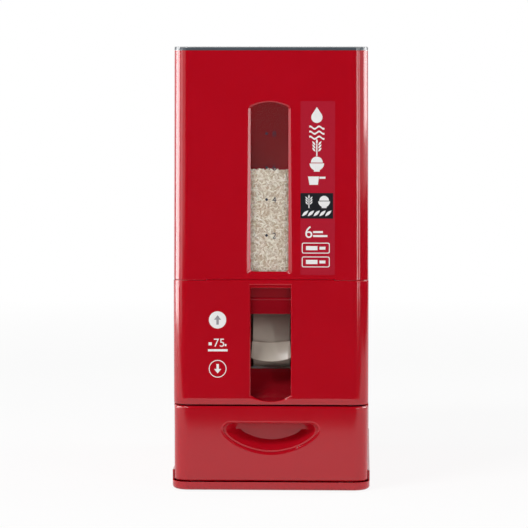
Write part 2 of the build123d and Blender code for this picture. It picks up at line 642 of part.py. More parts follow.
def drawer_tray():
    """Bin behind the drawer front that catches the measured rice."""
    y = (BAY_FRONT_Y - 0.4, TRAY_BACK_Y)
    size = (2 * TRAY_HALF, y[1] - y[0])
    place = Pos(0, (y[0] + y[1]) / 2, TRAY_BOTTOM)
    outer = place * extrude(RectangleRounded(*size, 9), TRAY_TOP - TRAY_BOTTOM)
    outer = fillet(outer.edges().group_by(Axis.Z)[0], 4)
    inner = place * Pos(0, 0, 2) * extrude(RectangleRounded(size[0] - 4, size[1] - 4, 7), 80)
    rim = extrude(RectangleRounded(size[0] + 3, size[1], 10), 2)
    rim = place * Pos(0, 0, TRAY_TOP - TRAY_BOTTOM - 2) * rim
    return drilled(outer + rim - inner, DRAWER_SCREWS, DRAWER_SCREW_LENGTH)


def drawer_screws():
    return group(place * screw(DRAWER_SCREW_LENGTH) for place in DRAWER_SCREWS)


# ---- tank and lid ------------------------------------------------------
def tank_block(inset, bottom, top):
    """Tapered block with the tank's outer form, set in by the inset."""
    def outline(z):
        lean = TANK_DRAFT * (z - TANK_BOTTOM) / (TANK_TOP - TANK_BOTTOM) + inset
        return Pos(0, 0, z) * RectangleRounded(TANK_WIDTH - 2 * lean, TANK_DEPTH - 2 * lean, CORNER - inset)
    return loft([outline(bottom), outline(top)])


def window_outline(inset):
    """Arched window opening seen from the front."""
    half = WINDOW_HALF - inset
    bottom = WINDOW_BOTTOM + inset * 0.64
    shoulder = WINDOW_SHOULDER - inset * 0.4
    sides = Polyline((-half, shoulder), (-half, bottom), (half, bottom), (half, shoulder))
    arch = ThreePointArc((half, shoulder), (0, WINDOW_APEX - inset * 0.55), (-half, shoulder))
    return Pos(WINDOW_X, 0) * fillet(make_face(sides + arch).vertices(), 3.0)


def window_cut(depth, inset):
    """Straight hole of the window's outline, from in front of the tank to the given depth."""
    return extrude(front_plane(TANK_FRONT_Y - 2) * window_outline(inset), -(2 + depth))


def tank_shell():
    """Rice tank: four drafted walls, a framed window, lugs for the lid."""
    shell = tank_block(0, TANK_BOTTOM, TANK_TOP) - tank_block(TANK_WALL, TANK_BOTTOM - 1, TANK_TOP + 1)
    frame = window_cut(PANE_FRAME, -5.0) - window_cut(0.2, -6.0)
    frame &= tank_block(0.5, TANK_BOTTOM + 0.5, TANK_TOP)
    shell += frame
    bevel = loft([front_plane(TANK_FRONT_Y - 0.1) * window_outline(0),
                  front_plane(TANK_FRONT_Y + BEVEL_DEPTH + 0.5) * window_outline(BEVEL)])
    shell -= bevel + window_cut(PANE_FRAME + 1, BEVEL)
    rebate = block((-50, 50), (TANK_FRONT_Y + 3.2, -150), (200, 420))
    shell -= window_cut(PANE_FRAME + 1, BEVEL - 2.2) & rebate
    shell = fillet(shell.edges().group_by(Axis.Z)[0], 0.6)
    notch = block((-TONGUE_HALF - 0.5, TONGUE_HALF + 0.5), (-200, -150), (TANK_BOTTOM - 1, TANK_BOTTOM + 1.3))
    shell -= notch
    for x in (-HINGE_X, HINGE_X):
        gap = KNUCKLE_HALF + 0.4
        shell -= block((x - gap, x + gap), (HINGE_Y - 5.2, 200), (HINGE_Z - KNUCKLE_RADIUS - 1.2, 460))
        for side in (-1, 1):
            low = x + side * gap - (LUG if side < 0 else 0)
            lug = rod(KNUCKLE_RADIUS, LUG / 2, HINGE_Y, HINGE_Z, low + LUG / 2)
            lug += block((low, low + LUG), (HINGE_Y - 3, HINGE_Y + 2.4), (HINGE_Z - 9, HINGE_Z))
            shell += lug
        shell -= rod(PIN_RADIUS, KNUCKLE_HALF + LUG + 1, HINGE_Y, HINGE_Z, x)
    return shell


def window_pane():
    """Clear pane, pressed into the frame from inside."""
    plug = window_cut(5.1, BEVEL + 0.05) - window_cut(BEVEL_DEPTH + 0.5, -6)
    back = window_cut(5.1, BEVEL - 2.0) & block((-50, 50), (TANK_FRONT_Y + 3.3, -150), (200, 420))
    return plug + back


def lid():
    """Flat lid with a locating rib and two hinge knuckles."""
    width = TANK_WIDTH - 2 * TANK_DRAFT
    depth = TANK_DEPTH - 2 * TANK_DRAFT
    plate = rounded_block(width, depth, CORNER, LID_BOTTOM, LID_TOP)
    plate = fillet(plate.edges().group_by(Axis.Z)[-1], 1.2)
    rib = rounded_block(width - 7, depth - 7, CORNER - 3.5, LID_BOTTOM - 5, LID_BOTTOM + 0.5)
    rib -= rounded_block(width - 10, depth - 10, CORNER - 5, 0, 500)
    plate += rib - block((-200, 200), (HINGE_Y - 8, 200), (0, LID_BOTTOM))
    for x in (-HINGE_X, HINGE_X):
        knuckle = rod(KNUCKLE_RADIUS, KNUCKLE_HALF, HINGE_Y, HINGE_Z, x)
        knuckle += block((x - KNUCKLE_HALF, x + KNUCKLE_HALF), (HINGE_Y - KNUCKLE_RADIUS, HINGE_Y),
                         (HINGE_Z, LID_BOTTOM + 0.2))
        plate += knuckle - rod(PIN_RADIUS + RUNNING_FIT, 30, HINGE_Y, HINGE_Z, x)
    return plate


def lid_hinge_pins():
    half = KNUCKLE_HALF + LUG - 0.5
    return group(rod(PIN_RADIUS, half, HINGE_Y, HINGE_Z, x) for x in (-HINGE_X, HINGE_X))


NODES = {
    "base_tray": base_tray,
    "rubber_feet": rubber_feet,
    "base_screws": base_screws,
    "drawer_runner_left": lambda: drawer_runner(-1),
    "drawer_runner_right": lambda: drawer_runner(1),
    "body_shell": body_shell,
    "lever_trough": lever_trough,
    "bay_ceiling": bay_ceiling,
    "outlet_spout": outlet_spout,
    "metering_case": metering_case,
    "case_cover": case_cover,
    "cover_screws": cover_screws,
    "case_screws": case_screws,
    "throat_wipers": throat_wipers,
    "drum_axle": drum_axle,
    "axle_bushes": axle_bushes,
    "axle_clips": axle_clips,
    "hopper": hopper,
    "metering_drum": metering_drum,
    "lever_paddle": lever_paddle,
    "drawer_front": drawer_front,
    "drawer_tray": drawer_tray,
    "drawer_screws": drawer_screws,
    "tank_shell": tank_shell,
    "window_pane": window_pane,
    "lid": lid,
    "lid_hinge_pins": lid_hinge_pins,
}


def main():
    os.makedirs("parts", exist_ok=True)
    for name, build in NODES.items():
        export_step(build(), f"parts/{name}.step")


if __name__ == "__main__":
    main()
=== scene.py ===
import math

import bpy
import bmesh
from mathutils import Matrix, Vector

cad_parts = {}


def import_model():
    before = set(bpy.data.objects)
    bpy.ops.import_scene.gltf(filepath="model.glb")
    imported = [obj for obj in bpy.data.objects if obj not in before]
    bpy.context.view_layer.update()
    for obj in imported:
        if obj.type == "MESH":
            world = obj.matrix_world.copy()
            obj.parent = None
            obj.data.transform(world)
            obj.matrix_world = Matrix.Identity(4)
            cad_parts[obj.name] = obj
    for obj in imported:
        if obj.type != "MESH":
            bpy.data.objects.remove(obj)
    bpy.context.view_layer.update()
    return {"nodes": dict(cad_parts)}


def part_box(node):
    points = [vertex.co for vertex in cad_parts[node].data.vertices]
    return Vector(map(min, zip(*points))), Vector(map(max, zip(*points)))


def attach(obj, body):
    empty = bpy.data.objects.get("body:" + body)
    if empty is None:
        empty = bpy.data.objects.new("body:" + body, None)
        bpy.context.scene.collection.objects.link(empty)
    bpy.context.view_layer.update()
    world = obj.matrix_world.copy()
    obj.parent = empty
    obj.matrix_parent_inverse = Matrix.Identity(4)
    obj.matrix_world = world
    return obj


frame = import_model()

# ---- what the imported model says, in metres ------------------------------
MM = 0.001
NODES = frame["nodes"]
TANK_LOW, TANK_HIGH = (Vector(c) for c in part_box("tank_shell"))
BODY_LOW = Vector(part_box("body_shell")[0])

# ---- the shell's front, in millimetres ----------------------------------
TANK_FRONT = TANK_LOW.y / MM
TANK_BOTTOM = TANK_LOW.z / MM
TANK_TOP = TANK_HIGH.z / MM
TANK_LEAN = 1.05             # how far the tank's front leans back from its bottom to its top
BODY_FRONT = BODY_LOW.y / MM
PANE_FACE = -167.2           # front of the clear window
LID_EDGE_ALPHA = 0.94        # how solid the smoke lid looks on its edges
LID_FACE_ALPHA = 0.2         # and on its flat faces

# what carries print: its depth at the tank's bottom, and its lean for each millimetre of height
TANK_SKIN = (TANK_FRONT, TANK_LEAN / (TANK_TOP - TANK_BOTTOM))
BODY_SKIN = (BODY_FRONT, 0.0)
PANE_SKIN = (PANE_FACE, 0.0)

# ---- rice, in millimetres -----------------------------------------------
RICE_TOP = 324.0             # its level at the window
RICE_FRONT = -162.3
RICE_BACK = 163.0
RICE_HALF = 94.0             # half its width, wall to wall
RICE_FALL = 0.075            # drop of its top for each millimetre towards the back
RICE_CORNER = 15.0           # plan corners, as the tank has
RICE_FLOOR_FRONT = 219.5     # it lies on the hopper, which is low in front
RICE_FLOOR_BACK = 273.0
SWELL_HEIGHT = 0.5           # gentle waves in its top
SWELL_ACROSS = 17.0
SWELL_ALONG = 21.0
SWELL_SHIFT = 1.0            # keeps a crest off the middle
BED_STEP = 3.0               # pitch of the heap's own points
WINDOW_LEFT = -22.5          # the grains reach a little past the window's opening
WINDOW_RIGHT = 20.5
WINDOW_FOOT = 1.5            # they start this far above the heap's foot
WINDOW_HEAD = 0.5            # and end this far above its top
WINDOW_PROUD = 0.1           # in front of its face
WINDOW_STEP = 4.0
TOP_MARGIN = 4.0             # the grains on top keep this far from the walls
TOP_LIFT = 0.2               # and lie this far above the heap
TOP_STEP = 6.0
GRAIN_BLUNT = 2.6            # how square the ends of a grain are: 2 is an ellipse
GRAIN_FLAT = 0.84            # thickness of a grain over its width
GRAIN_SMALLEST = 0.82        # sizes of single grains, over the usual one
GRAIN_LARGEST = 1.12
GRAINS_PER_M2 = 9.0e5        # tried for, before those too close to another are dropped

# ---- prints, in millimetres ---------------------------------------------
INK_ROOT = 0.04              # how deep the back of a print lies in its skin
FIRST_LAYER = 0.06           # how proud film, or ink straight on the skin, stands
DISC_LAYER = 0.11            # ink on the white disc
SECOND_LAYER = 0.12          # ink on the film
THIRD_LAYER = 0.17           # ink on the dark panel
DIGIT_HALF = 0.03            # half the thickness of a printed number
DIGIT_SHARE = 0.73           # height of a digit for a letter size of 1
SCALE_DOT_X = -4.1
SCALE_DOT_RADIUS = 1.35
SCALE_NUMBER_X = 1.5
SCALE_NUMBER_HEIGHT = 6.2
SCALE_MARKS = [("8", 360.8), ("6", 327.1), ("4", 294.8), ("2", 258.8)]   # kilograms, height
LABEL_LEFT = 29.9
LABEL_RIGHT = 64.4
LABEL_LOW = 219.4
LABEL_HIGH = 393.4
LABEL_CORNER = 1.0
SIGN_MIDDLE = 46.2           # the label's signs stand in one column
PANEL_RIGHT = 62.6           # the dark panel starts at the film's left edge
PANEL_LOW = 275.9
PANEL_HIGH = 301.5
PANEL_MIDDLE = 293.2         # height of the two signs in it
LABEL_NUMBER_Z = 262.8
LABEL_NUMBER_LIFT = 0.09     # puts the number on the film
PILL_LEFT = 31.3
PILL_RIGHT = 59.3
PILL_HEIGHT = 10.8
PILL_LINE = 0.8
PILL_CORNER = 1.9
PILL_INNER_CORNER = 1.3
MARK_X = -53.3               # the two round marks beside the lever
UPPER_MARK = 173.7
LOWER_MARK = 124.3
MARK_ARROW = 9.5
PORTION_NUMBER_LIFT = 0.04

# ---- studio, in metres --------------------------------------------------
CAMERA_DISTANCE = 2.75       # from the front face to the lens
CAMERA_HEIGHT = 0.444        # the lens is level with the lid
CAMERA_TURN = 1.9            # degrees round to the right-hand side
CAMERA_REACH = 30.0
IMAGE_PIXELS = 528
PIXEL_SIZE = 0.001           # what one pixel covers at that distance
AIM_LEFT = 0.0066            # the picture's middle lies this far left of the front's middle
AIM_HEIGHT = 0.2302          # and at this height
SENSOR = 36.0                # millimetres
FLOOR_HALF = 8.0
SHADOW_REACH = 1.0           # from here to twice as far the paper fades to pure white
PAPER_GLOW = 0.9             # how far the paper is lifted to white for the eye; the rest keeps the shadow
WORLD_FILL = 0.16            # strength of the surroundings as light on things

# name, place and aim in metres, width, height, watts, and whether only reflections show it
LAMPS = [
    # left side of the shell: plain light, then the pale sheen on its edge
    ("left_panel", (-1.6, 0.1, 0.75), (0, 0, 0.5), 1.1, 1.5, 12, False),
    ("left_sheen", (-1.61, 0.1, 0.75), (0, 0, 0.5), 1.1, 1.5, 36, True),
    # thin streaks beside the left corner and on the window's right bevel
    ("left_front_panel", (-1.5, -0.9, 0.6), (0, 0, 0.4), 0.5, 1.2, 3, False),
    # streak beside the right corner, and light on the lever
    ("right_strip", (1.25, -1.74, 0.75), (0.1, -0.1, 0.5), 0.2, 1.5, 7, False),
    # streak on the window's left bevel
    ("bevel_strip", (1.59, -1.36, 0.75), (0, -0.1, 0.5), 0.24, 1.5, 5, False),
    # right side of the shell: plain light, then the pale sheen on its edge
    ("right_panel", (1.7, 0.5, 0.95), (0, 0, 0.5), 1.3, 1.3, 16, False),
    ("right_sheen", (1.71, 0.5, 0.95), (0, 0, 0.5), 1.3, 1.3, 24, True),
    # main light, from the upper left
    ("key_softbox", (-1.1, -1.4, 2.4), (0, 0, 0.2), 0.8, 0.6, 37, False),
]

# black cards that reflections see in place of the white surroundings: name and corners in metres
FLAGS = [
    ("floor_flag", [(-3, -0.62, 0.004), (3, -0.62, 0.004), (3, -5, 0.004), (-3, -5, 0.004)]),
    ("front_flag", [(-2.2, -3.5, 0.0), (2.2, -3.5, 0.0), (2.2, -3.5, 3.2), (-2.2, -3.5, 3.2)]),
    ("top_flag", [(-2.0, -3.5, 3.2), (2.0, -3.5, 3.2), (2.0, 1.5, 3.2), (-2.0, 1.5, 3.2)]),
    ("right_flag", [(1.4, -0.9, 0.0), (1.4, 1.5, 0.0), (1.4, 1.5, 0.24), (1.4, -0.9, 0.24)]),
]


# ---- small helpers ------------------------------------------------------
def linear(code):
    """Linear colour from an sRGB hex code."""
    channels = [int(code[i:i + 2], 16) / 255 for i in (1, 3, 5)]
    return [c / 12.92 if c <= 0.04045 else ((c + 0.055) / 1.055) ** 2.4 for c in channels] + [1.0]


def add(tree, kind, values=None, **settings):
    """One node with its settings and links; a value may be a socket of another node."""
    node = tree.nodes.new(kind)
    for key, value in settings.items():
        setattr(node, key, value)
    for key, value in (values or {}).items():
        socket = node.inputs[key]
        if isinstance(value, bpy.types.NodeSocket):
            tree.links.new(value, socket)
        else:
            socket.default_value = value
    return node


def new_material(name, **sockets):
    """A material with its Principled shader; sockets are set by name."""
    material = bpy.data.materials.new(name)
    material.use_nodes = True
    shader = material.node_tree.nodes["Principled BSDF"]
    for key, value in sockets.items():
        shader.inputs[key.replace("_", " ")].default_value = value
    return material, material.node_tree, shader


def pattern(tree, size_mm, detail=3.0):
    """Uneven 0 to 1 pattern on the object's own coordinates, one cell about the given size."""
    place = add(tree, "ShaderNodeTexCoord")
    noise = add(tree, "ShaderNodeTexNoise", {
        "Vector": place.outputs["Object"], "Scale": 1 / (size_mm * MM), "Detail": detail})
    return noise.outputs["Fac"]


def dress(tree, shader, drift, low, high, polish=None, relief=None):
    """Wires a finish: a pattern drifts between two close tones.

    polish is (pattern, smoothest, dullest) and relief is (pattern, strength, depth in millimetres).
    """
    tone = add(tree, "ShaderNodeMix", {
        "Factor": drift, "A": linear(low), "B": linear(high)}, data_type="RGBA")
    tree.links.new(tone.outputs["Result"], shader.inputs["Base Color"])
    if polish:
        where, smoothest, dullest = polish
        rough = add(tree, "ShaderNodeMapRange", {
            "Value": where, "To Min": smoothest, "To Max": dullest})
        tree.links.new(rough.outputs["Result"], shader.inputs["Roughness"])
    if relief:
        where, strength, depth_mm = relief
        raised = add(tree, "ShaderNodeBump", {
            "Height": where, "Strength": strength, "Distance": depth_mm * MM})
        tree.links.new(raised.outputs["Normal"], shader.inputs["Normal"])


# ---- materials ----------------------------------------------------------
def red_abs(name, low, high, glow, polish):
    """Injection-moulded ABS: deep saturated red, faint flow ripple and hairline haze."""
    material, tree, shader = new_material(name, IOR=1.53, Subsurface_Weight=glow,
                                          Subsurface_Scale=0.004, Subsurface_Radius=(1.0, 0.08, 0.08))
    ripple = pattern(tree, 38, 2.0)
    haze = pattern(tree, 2.2, 4.0)
    dress(tree, shader, ripple, low, high, polish=(haze, polish, 2 * polish), relief=(ripple, 0.12, 0.25))
    return material


def natural_polypropylene():
    """Milky unpigmented polypropylene: soft, waxy and a little see-through."""
    material, tree, shader = new_material("natural_polypropylene", IOR=1.49, Subsurface_Weight=0.35,
                                          Subsurface_Scale=0.004, Roughness=0.38)
    cloud = pattern(tree, 14)
    skin = pattern(tree, 0.9)
    dress(tree, shader, cloud, "#DADAD4", "#E6E6E1", relief=(skin, 0.2, 0.05))
    return material


def lever_abs():
    """Satin warm-grey ABS, its fine spark-eroded grain drawn as coarse as it needs to show."""
    material, tree, shader = new_material("spark_eroded_grey_abs", IOR=1.53, Roughness=0.33)
    grit = pattern(tree, 0.5, 2.0)
    cloud = pattern(tree, 11, 2.0)
    dress(tree, shader, cloud, "#ADA598", "#B7AFA3", relief=(grit, 0.25, 0.03))
    return material


def smoke_styrene():
    """Smoke-tinted polystyrene lid: see-through plate, its edges dark where the light path is long."""
    material, tree, shader = new_material("smoke_polystyrene", IOR=1.59)
    film = pattern(tree, 30)
    dress(tree, shader, film, "#4A525A", "#525A62", polish=(film, 0.08, 0.16))
    place = add(tree, "ShaderNodeTexCoord")
    parts = add(tree, "ShaderNodeSeparateXYZ", {"Vector": place.outputs["Normal"]})
    flat = add(tree, "ShaderNodeMath", {0: parts.outputs["Z"]}, operation="ABSOLUTE")
    solid = add(tree, "ShaderNodeMapRange", {
        "Value": flat.outputs[0], "To Min": LID_EDGE_ALPHA, "To Max": LID_FACE_ALPHA})
    tree.links.new(solid.outputs["Result"], shader.inputs["Alpha"])
    return material


def clear_san():
    """Clear SAN window: almost invisible, a thin milky veil and a soft reflection."""
    material, tree, shader = new_material("clear_san", IOR=1.57, Alpha=0.015)
    veil = pattern(tree, 20)
    dress(tree, shader, veil, "#D9C9CC", "#E2D4D6", polish=(veil, 0.05, 0.12))
    return material


def zinc_steel():
    """Bright zinc-plated steel, its fine turning marks drawn as coarse as they need to show."""
    material, tree, shader = new_material("zinc_plated_steel", Metallic=1.0)
    fine = pattern(tree, 0.6, 2.0)
    dress(tree, shader, fine, "#AEB0B4", "#C4C6C9", polish=(fine, 0.22, 0.36))
    return material


def foot_rubber():
    """Black nitrile rubber, matt, with a dusty bloom."""
    material, tree, shader = new_material("nitrile_rubber", IOR=1.52, Roughness=0.75)
    bloom = pattern(tree, 3, 4.0)
    grit = pattern(tree, 0.4)
    dress(tree, shader, bloom, "#1C1C1D", "#2C2C2C", relief=(grit, 0.3, 0.04))
    return material


def bush_acetal():
    """White acetal bushes: dense, smooth and slightly waxy."""
    material, tree, shader = new_material("turned_acetal", IOR=1.48, Roughness=0.3)
    dress(tree, shader, pattern(tree, 1.5), "#E4E2DC", "#ECEAE5")
    return material


def rice_grain():
    """Milled rice: glassy cream grains with chalky cores, each grain its own tone."""
    material, tree, shader = new_material("milled_rice", IOR=1.45, Roughness=0.42, Subsurface_Weight=0.15,
                                          Subsurface_Scale=0.002)
    own = add(tree, "ShaderNodeAttribute", attribute_name="grain_tone")
    chalk = pattern(tree, 0.9, 2.0)
    mixed = add(tree, "ShaderNodeMath", {0: own.outputs["Fac"], 1: chalk}, operation="MULTIPLY")
    spread = add(tree, "ShaderNodeMapRange", {
        "Value": mixed.outputs[0], "From Min": -0.08, "From Max": 0.5})
    dress(tree, shader, spread.outputs["Result"], "#BEA588", "#FAF3E6", relief=(chalk, 0.25, 0.06))
    return material


def ink(name, low, high, rough):
    """Screen-printed ink with a slightly uneven lay."""
    material, tree, shader = new_material(name, IOR=1.5)
    lay = pattern(tree, 1.8)
    dress(tree, shader, lay, low, high, polish=(lay, rough, rough + 0.1))
    return material


# polished outer shells, and a darker copy of the same red for the lever recess, its darkness painted shade
# of the recess
RED = red_abs("moulded_red_abs", "#B20A1C", "#B90C1F", glow=0.25, polish=0.07)
SHADED_RECESS_RED = red_abs("moulded_red_abs_painted_shade", "#850615", "#8F0818", glow=0.1, polish=0.09)
NATURAL = natural_polypropylene()
GREY = lever_abs()
SMOKE = smoke_styrene()
CLEAR = clear_san()
STEEL = zinc_steel()
RUBBER = foot_rubber()
ACETAL = bush_acetal()
RICE = rice_grain()
FILM = ink("label_film_red", "#B01C30", "#B41F33", 0.12)
WHITE_INK = ink("white_screen_ink", "#ECECEC", "#F4F4F4", 0.4)
BLACK_INK = ink("black_screen_ink", "#1A1A20", "#212127", 0.3)
SCALE_INK = ink("blue_black_screen_ink", "#20243A", "#292D42", 0.4)
DISC_INK = ink("pale_grey_screen_ink", "#8E8B92", "#9A979E", 0.4)

FINISHES = [
    (RED, ["base_tray", "body_shell", "drawer_front", "tank_shell"]),
    # the lever recess gets the shell's red darkened, as painted shade
    (SHADED_RECESS_RED, ["lever_trough"]),
    (NATURAL, ["drawer_runner_left", "drawer_runner_right", "bay_ceiling", "outlet_spout", "metering_case",
               "case_cover", "hopper", "drawer_tray"]),
    (GREY, ["metering_drum", "lever_paddle"]),
    (SMOKE, ["lid"]),
    (CLEAR, ["window_pane"]),
    (STEEL, ["base_screws", "cover_screws", "case_screws", "drawer_screws", "drum_axle", "axle_clips",
             "lid_hinge_pins"]),
    (RUBBER, ["rubber_feet", "throat_wipers"]),
    (ACETAL, ["axle_bushes"]),
]


def finish_nodes():
    """Gives each CAD node its material."""
    for material, names in FINISHES:
        for name in names:
            for slot in NODES[name].material_slots:
                slot.material = material


# ---- pieces in the shell's own millimetres ------------------------------
def steps(start, end, pitch):
    """Evenly spaced values from start to end, both included."""
    count = max(1, round(abs(end - start) / pitch))
    return [start + (end - start) * i / count for i in range(count + 1)]


def new_object(name, data):
    """Object in the scene, at the origin, that holds a mesh, curve, lamp or camera."""
    piece = bpy.data.objects.new(name, data)
    bpy.context.scene.collection.objects.link(piece)
    return piece


def placed(name, mesh, body):
    """Object at the origin that rides on a body."""
    piece = new_object(name, mesh)
    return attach(piece, body)


def drawn_mesh(name, sheet, smooth=True):
    """Mesh in metres from a bmesh drawn in millimetres, its faces pointing outwards."""
    bmesh.ops.recalc_face_normals(sheet, faces=sheet.faces)
    bmesh.ops.scale(sheet, vec=(MM, MM, MM), verts=sheet.verts)
    mesh = bpy.data.meshes.new(name)
    sheet.to_mesh(mesh)
    sheet.free()
    for face in mesh.polygons:
        face.use_smooth = smooth
    return mesh


def made_plain(holder, name, material):
    """What an object makes, as a plain mesh in one material; the object itself goes."""
    bpy.context.view_layer.update()
    ready = holder.evaluated_get(bpy.context.evaluated_depsgraph_get())
    mesh = bpy.data.meshes.new_from_object(ready)
    bpy.data.objects.remove(holder)
    mesh.name = name
    mesh.materials.clear()
    mesh.materials.append(material)
    return mesh


def skin_depth(skin, z):
    """Depth of a front skin at a height."""
    depth, lean = skin
    return depth + lean * (z - TANK_BOTTOM)


# ---- rice in the tank ---------------------------------------------------
def corner_inset(x):
    """How far a rounded plan corner draws the front and back of the rice in at x."""
    past = max(0.0, abs(x) - (RICE_HALF - RICE_CORNER))
    return RICE_CORNER - math.sqrt(max(0.0, RICE_CORNER ** 2 - past ** 2))


def rice_height(x, y):
    """Level of the heap: highest at the window, falling gently to the back."""
    swell = SWELL_HEIGHT * math.sin(x / SWELL_ACROSS + SWELL_SHIFT) * math.sin(y / SWELL_ALONG)
    return RICE_TOP - RICE_FALL * (y - RICE_FRONT) + swell


def rice_loop(x):
    """One section of the heap across the tank, as points running round it."""
    front = RICE_FRONT + corner_inset(x)
    back = RICE_BACK - corner_inset(x)
    rise = rice_height(x, front) - RICE_FLOOR_FRONT
    rows = round((RICE_TOP - RICE_FLOOR_FRONT) / BED_STEP)
    loop = [(front, RICE_FLOOR_FRONT + rise * i / rows) for i in range(rows)]
    across = round((RICE_BACK - RICE_FRONT) / BED_STEP)
    for i in range(across + 1):
        y = front + (back - front) * i / across
        loop.append((y, rice_height(x, y)))
    return loop + [(back, RICE_FLOOR_BACK)]


def rice_bed():
    """Closed heap of rice that fills the tank behind the window."""
    sheet = bmesh.new()
    rings = []
    for x in steps(-RICE_HALF, RICE_HALF, BED_STEP):
        rings.append([sheet.verts.new((x, y, z)) for y, z in rice_loop(x)])
    count = len(rings[0])
    for one, other in zip(rings, rings[1:]):
        for i in range(count):
            sheet.faces.new((one[i], one[(i + 1) % count], other[(i + 1) % count], other[i]))
    sheet.faces.new(rings[0])
    sheet.faces.new(rings[-1])
    mesh = drawn_mesh("rice_bed", sheet)
    mesh.materials.append(RICE)
    placed("rice_bed", mesh, "tank")


def grain(length, width, sides, rings):
    """One husked grain: a slim ellipsoid with blunt ends, long along X."""
    sheet = bmesh.new()
    tips = [sheet.verts.new((-length / 2, 0, 0)), sheet.verts.new((length / 2, 0, 0))]
    loops = []
    for k in range(1, rings + 1):
        along = -math.cos(math.pi * k / (rings + 1))
        radius = width / 2 * (1 - abs(along) ** GRAIN_BLUNT) ** 0.5
        angles = [2 * math.pi * i / sides for i in range(sides)]
        loops.append([sheet.verts.new((along * length / 2, radius * math.cos(a),
                                       GRAIN_FLAT * radius * math.sin(a))) for a in angles])
    for i in range(sides):
        j = (i + 1) % sides
        sheet.faces.new((tips[0], loops[0][j], loops[0][i]))
        sheet.faces.new((tips[1], loops[-1][i], loops[-1][j]))
        for one, other in zip(loops, loops[1:]):
            sheet.faces.new((one[i], one[j], other[j], other[i]))
    return bpy.data.objects.new("grain", drawn_mesh("grain", sheet))


def scatter_inputs(tree):
    """The scatter's named inputs and its output; gives the inputs' identifiers."""
    face = tree.interface
    face.new_socket("Geometry", in_out="INPUT", socket_type="NodeSocketGeometry")
    inputs = {}
    for label, kind in (("Grain", "Object"), ("Finish", "Material"), ("Spacing", "Float"),
                        ("Tip", "Float"), ("Seed", "Int")):
        inputs[label] = face.new_socket(label, in_out="INPUT", socket_type="NodeSocket" + kind).identifier
    face.new_socket("Geometry", in_out="OUTPUT", socket_type="NodeSocketGeometry")
    return inputs


def random_turn(tree, tip, seed, lying):
    """Rotation of a grain: any way round on the surface, and tipped a little."""
    low_tip = add(tree, "ShaderNodeMath", {0: tip, 1: -1.0}, operation="MULTIPLY")
    low = add(tree, "ShaderNodeCombineXYZ", {"X": low_tip.outputs[0], "Y": low_tip.outputs[0], "Z": 0.0})
    high = add(tree, "ShaderNodeCombineXYZ", {"X": tip, "Y": tip, "Z": 2 * math.pi})
    spin = add(tree, "FunctionNodeRandomValue", {"Seed": seed}, data_type="FLOAT_VECTOR")
    tree.links.new(low.outputs[0], spin.inputs[0])
    tree.links.new(high.outputs[0], spin.inputs[1])
    turned = add(tree, "FunctionNodeRotateRotation", {"Rotation": lying}, rotation_space="LOCAL")
    tree.links.new(spin.outputs[0], turned.inputs["Rotate By"])
    return turned.outputs["Rotation"]


def grain_tree():
    """Scatters grains lying on a surface, each with its own turn, size and tone."""
    tree = bpy.data.node_groups.new("scatter_grains", "GeometryNodeTree")
    inputs = scatter_inputs(tree)
    source = add(tree, "NodeGroupInput")
    seed = source.outputs["Seed"]
    spread = add(tree, "GeometryNodeDistributePointsOnFaces", {
        "Mesh": source.outputs["Geometry"], "Distance Min": source.outputs["Spacing"],
        "Density Max": GRAINS_PER_M2, "Seed": seed}, distribute_method="POISSON")
    turn = random_turn(tree, source.outputs["Tip"], seed, spread.outputs["Rotation"])
    size = add(tree, "FunctionNodeRandomValue", {"Seed": seed})
    size.inputs[2].default_value = GRAIN_SMALLEST
    size.inputs[3].default_value = GRAIN_LARGEST
    shape = add(tree, "GeometryNodeObjectInfo", {"Object": source.outputs["Grain"]})
    laid = add(tree, "GeometryNodeInstanceOnPoints", {
        "Points": spread.outputs["Points"], "Instance": shape.outputs["Geometry"],
        "Rotation": turn, "Scale": size.outputs[1]})
    shade = add(tree, "FunctionNodeRandomValue", {"Seed": seed})
    toned = add(tree, "GeometryNodeStoreNamedAttribute", {
        "Geometry": laid.outputs["Instances"], "Name": "grain_tone", "Value": shade.outputs[1]},
        data_type="FLOAT", domain="INSTANCE")
    real = add(tree, "GeometryNodeRealizeInstances", {"Geometry": toned.outputs["Geometry"]})
    dressed = add(tree, "GeometryNodeSetMaterial", {
        "Geometry": real.outputs["Geometry"], "Material": source.outputs["Finish"]})
    add(tree, "NodeGroupOutput", {"Geometry": dressed.outputs["Geometry"]})
    return tree, inputs


def strewn_grains(name, patch, shape, spacing_mm, tip, seed):
    """Real grains over a patch of the heap, as one plain mesh riding on the tank."""
    tree, inputs = grain_tree()
    mesh = bpy.data.meshes.new(name + "_patch")
    patch.to_mesh(mesh)
    patch.free()
    holder = new_object(name + "_patch", mesh)
    modifier = holder.modifiers.new("grains", "NODES")
    modifier.node_group = tree
    for label, value in (("Grain", shape), ("Finish", RICE), ("Spacing", spacing_mm * MM), ("Tip", tip),
                         ("Seed", seed)):
        modifier[inputs[label]] = value
    placed(name, made_plain(holder, name, RICE), "tank")


def patch_of(columns, rows, point):
    """Open grid of faces over the heap, its points given by a function, in metres."""
    sheet = bmesh.new()
    grid = [[sheet.verts.new(Vector(point(u, v)) * MM) for u in columns] for v in rows]
    for lower, upper in zip(grid, grid[1:]):
        for i in range(len(lower) - 1):
            sheet.faces.new((lower[i], lower[i + 1], upper[i + 1], upper[i]))
    return sheet


def window_grains():
    """Slim grains that lie against the pane, where they are seen from near."""
    patch = patch_of(steps(WINDOW_LEFT, WINDOW_RIGHT, WINDOW_STEP),
                     steps(RICE_FLOOR_FRONT + WINDOW_FOOT, RICE_TOP + WINDOW_HEAD, WINDOW_STEP),
                     lambda x, z: (x, RICE_FRONT - WINDOW_PROUD, z))
    shape = grain(length=4.7, width=1.6, sides=6, rings=4)
    strewn_grains("rice_window_grains", patch, shape, spacing_mm=1.35, tip=0.36, seed=3)


